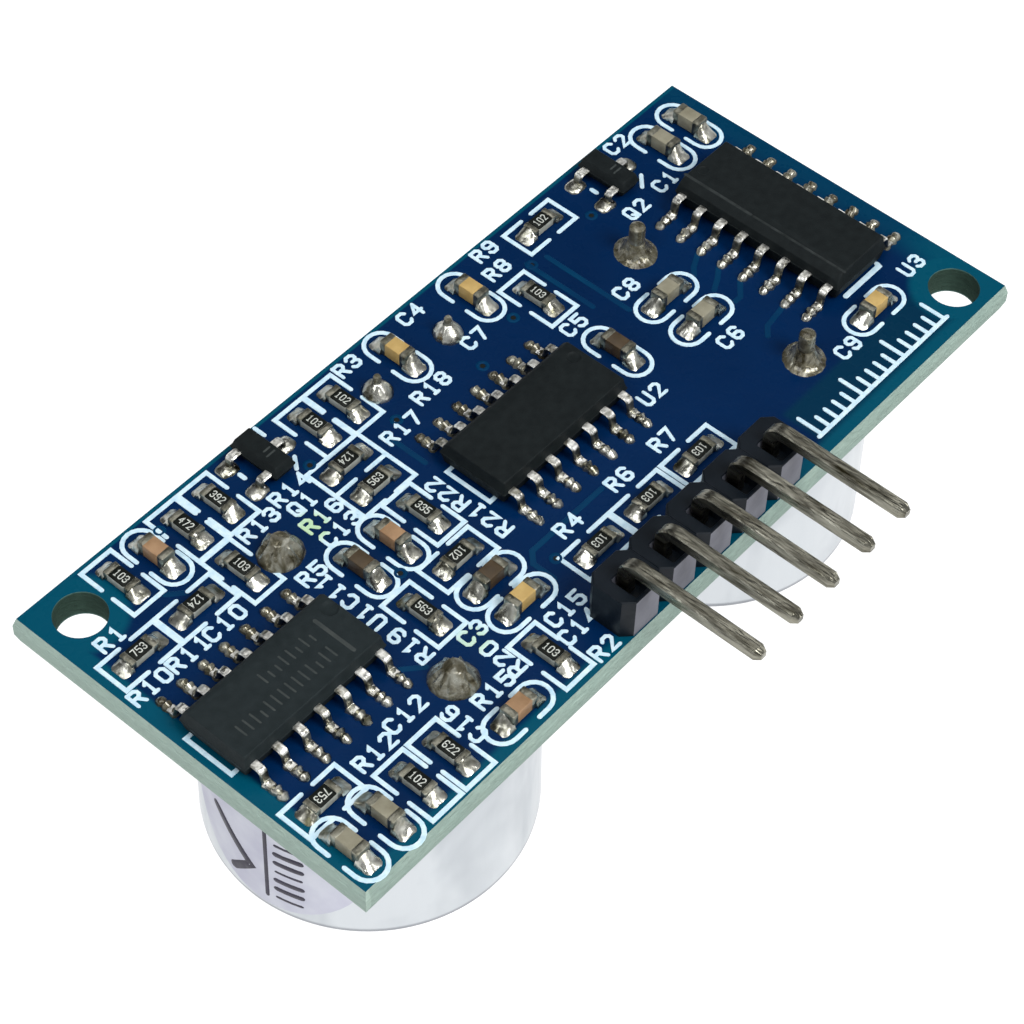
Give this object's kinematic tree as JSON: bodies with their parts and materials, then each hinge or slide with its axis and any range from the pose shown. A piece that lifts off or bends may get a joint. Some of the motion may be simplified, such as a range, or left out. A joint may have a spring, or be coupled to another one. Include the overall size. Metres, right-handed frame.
{
  "type": "ultrasonic distance sensor",
  "caption": "Ultrasonic ranging module: a flat circuit board over round transmitter and receiver cans, with a right-angle pin header at one long edge and small parts on its face.",
  "frame": {"origin": "middle of the foot of the whole object, in the plane of the transducers' front rims, on which it stands", "axes": "+X along the board from the receiver to the transmitter, header pins towards -Y, +Z out of the component side"},
  "size_m": [0.0452, 0.0266, 0.0173],
  "materials": {
    "solder_mask": "glossy blue solder mask over glass-fibre laminate",
    "can_metal": "satin drawn aluminium",
    "grille_metal": "dull steel mesh",
    "phenolic": "dull dark moulding",
    "cone_metal": "spun aluminium",
    "label_paper": "printed paper",
    "header_plastic": "satin black moulding",
    "tinned_metal": "tin plate with a slight tarnish",
    "crystal_metal": "satin nickel",
    "moulded_epoxy": "fine-grained black epoxy",
    "resistor_black": "black glaze on white ceramic",
    "ceramic_tan": "dull fired ceramic",
    "ceramic_yellow": "dull fired ceramic",
    "ceramic_brown": "dull fired ceramic",
    "ceramic_pale": "dull fired ceramic"
  },
  "bodies": {
    "root": {"circuit_board": "solder_mask", "receiver_can": "can_metal", "transmitter_can": "can_metal", "receiver_grille": "grille_metal", "transmitter_grille": "grille_metal", "receiver_base": "phenolic", "transmitter_base": "phenolic", "receiver_sounder": "cone_metal", "transmitter_sounder": "cone_metal", "check_label": "label_paper", "header_housing": "header_plastic", "header_pin_1": "tinned_metal", "header_pin_2": "tinned_metal", "header_pin_3": "tinned_metal", "header_pin_4": "tinned_metal", "header_pin_5": "tinned_metal", "quartz_crystal": "crystal_metal", "echo_amplifier_ic": "moulded_epoxy", "controller_ic": "moulded_epoxy", "driver_ic": "moulded_epoxy", "transistor_left": "moulded_epoxy", "transistor_right": "moulded_epoxy", "resistor_01": "resistor_black", "resistor_02": "resistor_black", "resistor_03": "resistor_black", "resistor_04": "resistor_black", "resistor_05": "resistor_black", "resistor_06": "resistor_black", "resistor_07": "resistor_black", "resistor_08": "resistor_black", "resistor_09": "resistor_black", "resistor_10": "resistor_black", "resistor_11": "resistor_black", "resistor_12": "resistor_black", "resistor_13": "resistor_black", "resistor_14": "resistor_black", "resistor_15": "resistor_black", "resistor_16": "resistor_black", "resistor_17": "resistor_black", "resistor_18": "resistor_black", "resistor_19": "resistor_black", "resistor_20": "resistor_black", "resistor_21": "resistor_black", "resistor_22": "resistor_black", "capacitor_01": "ceramic_tan", "capacitor_02": "ceramic_pale", "capacitor_03": "ceramic_pale", "capacitor_04": "ceramic_tan", "capacitor_05": "ceramic_brown", "capacitor_06": "ceramic_tan", "capacitor_07": "ceramic_brown", "capacitor_08": "ceramic_yellow", "capacitor_09": "ceramic_yellow", "capacitor_10": "ceramic_yellow", "capacitor_11": "ceramic_brown", "capacitor_12": "ceramic_pale", "capacitor_13": "ceramic_pale", "capacitor_14": "ceramic_pale", "capacitor_15": "ceramic_pale", "capacitor_16": "ceramic_yellow"}
  },
  "joints": []
}
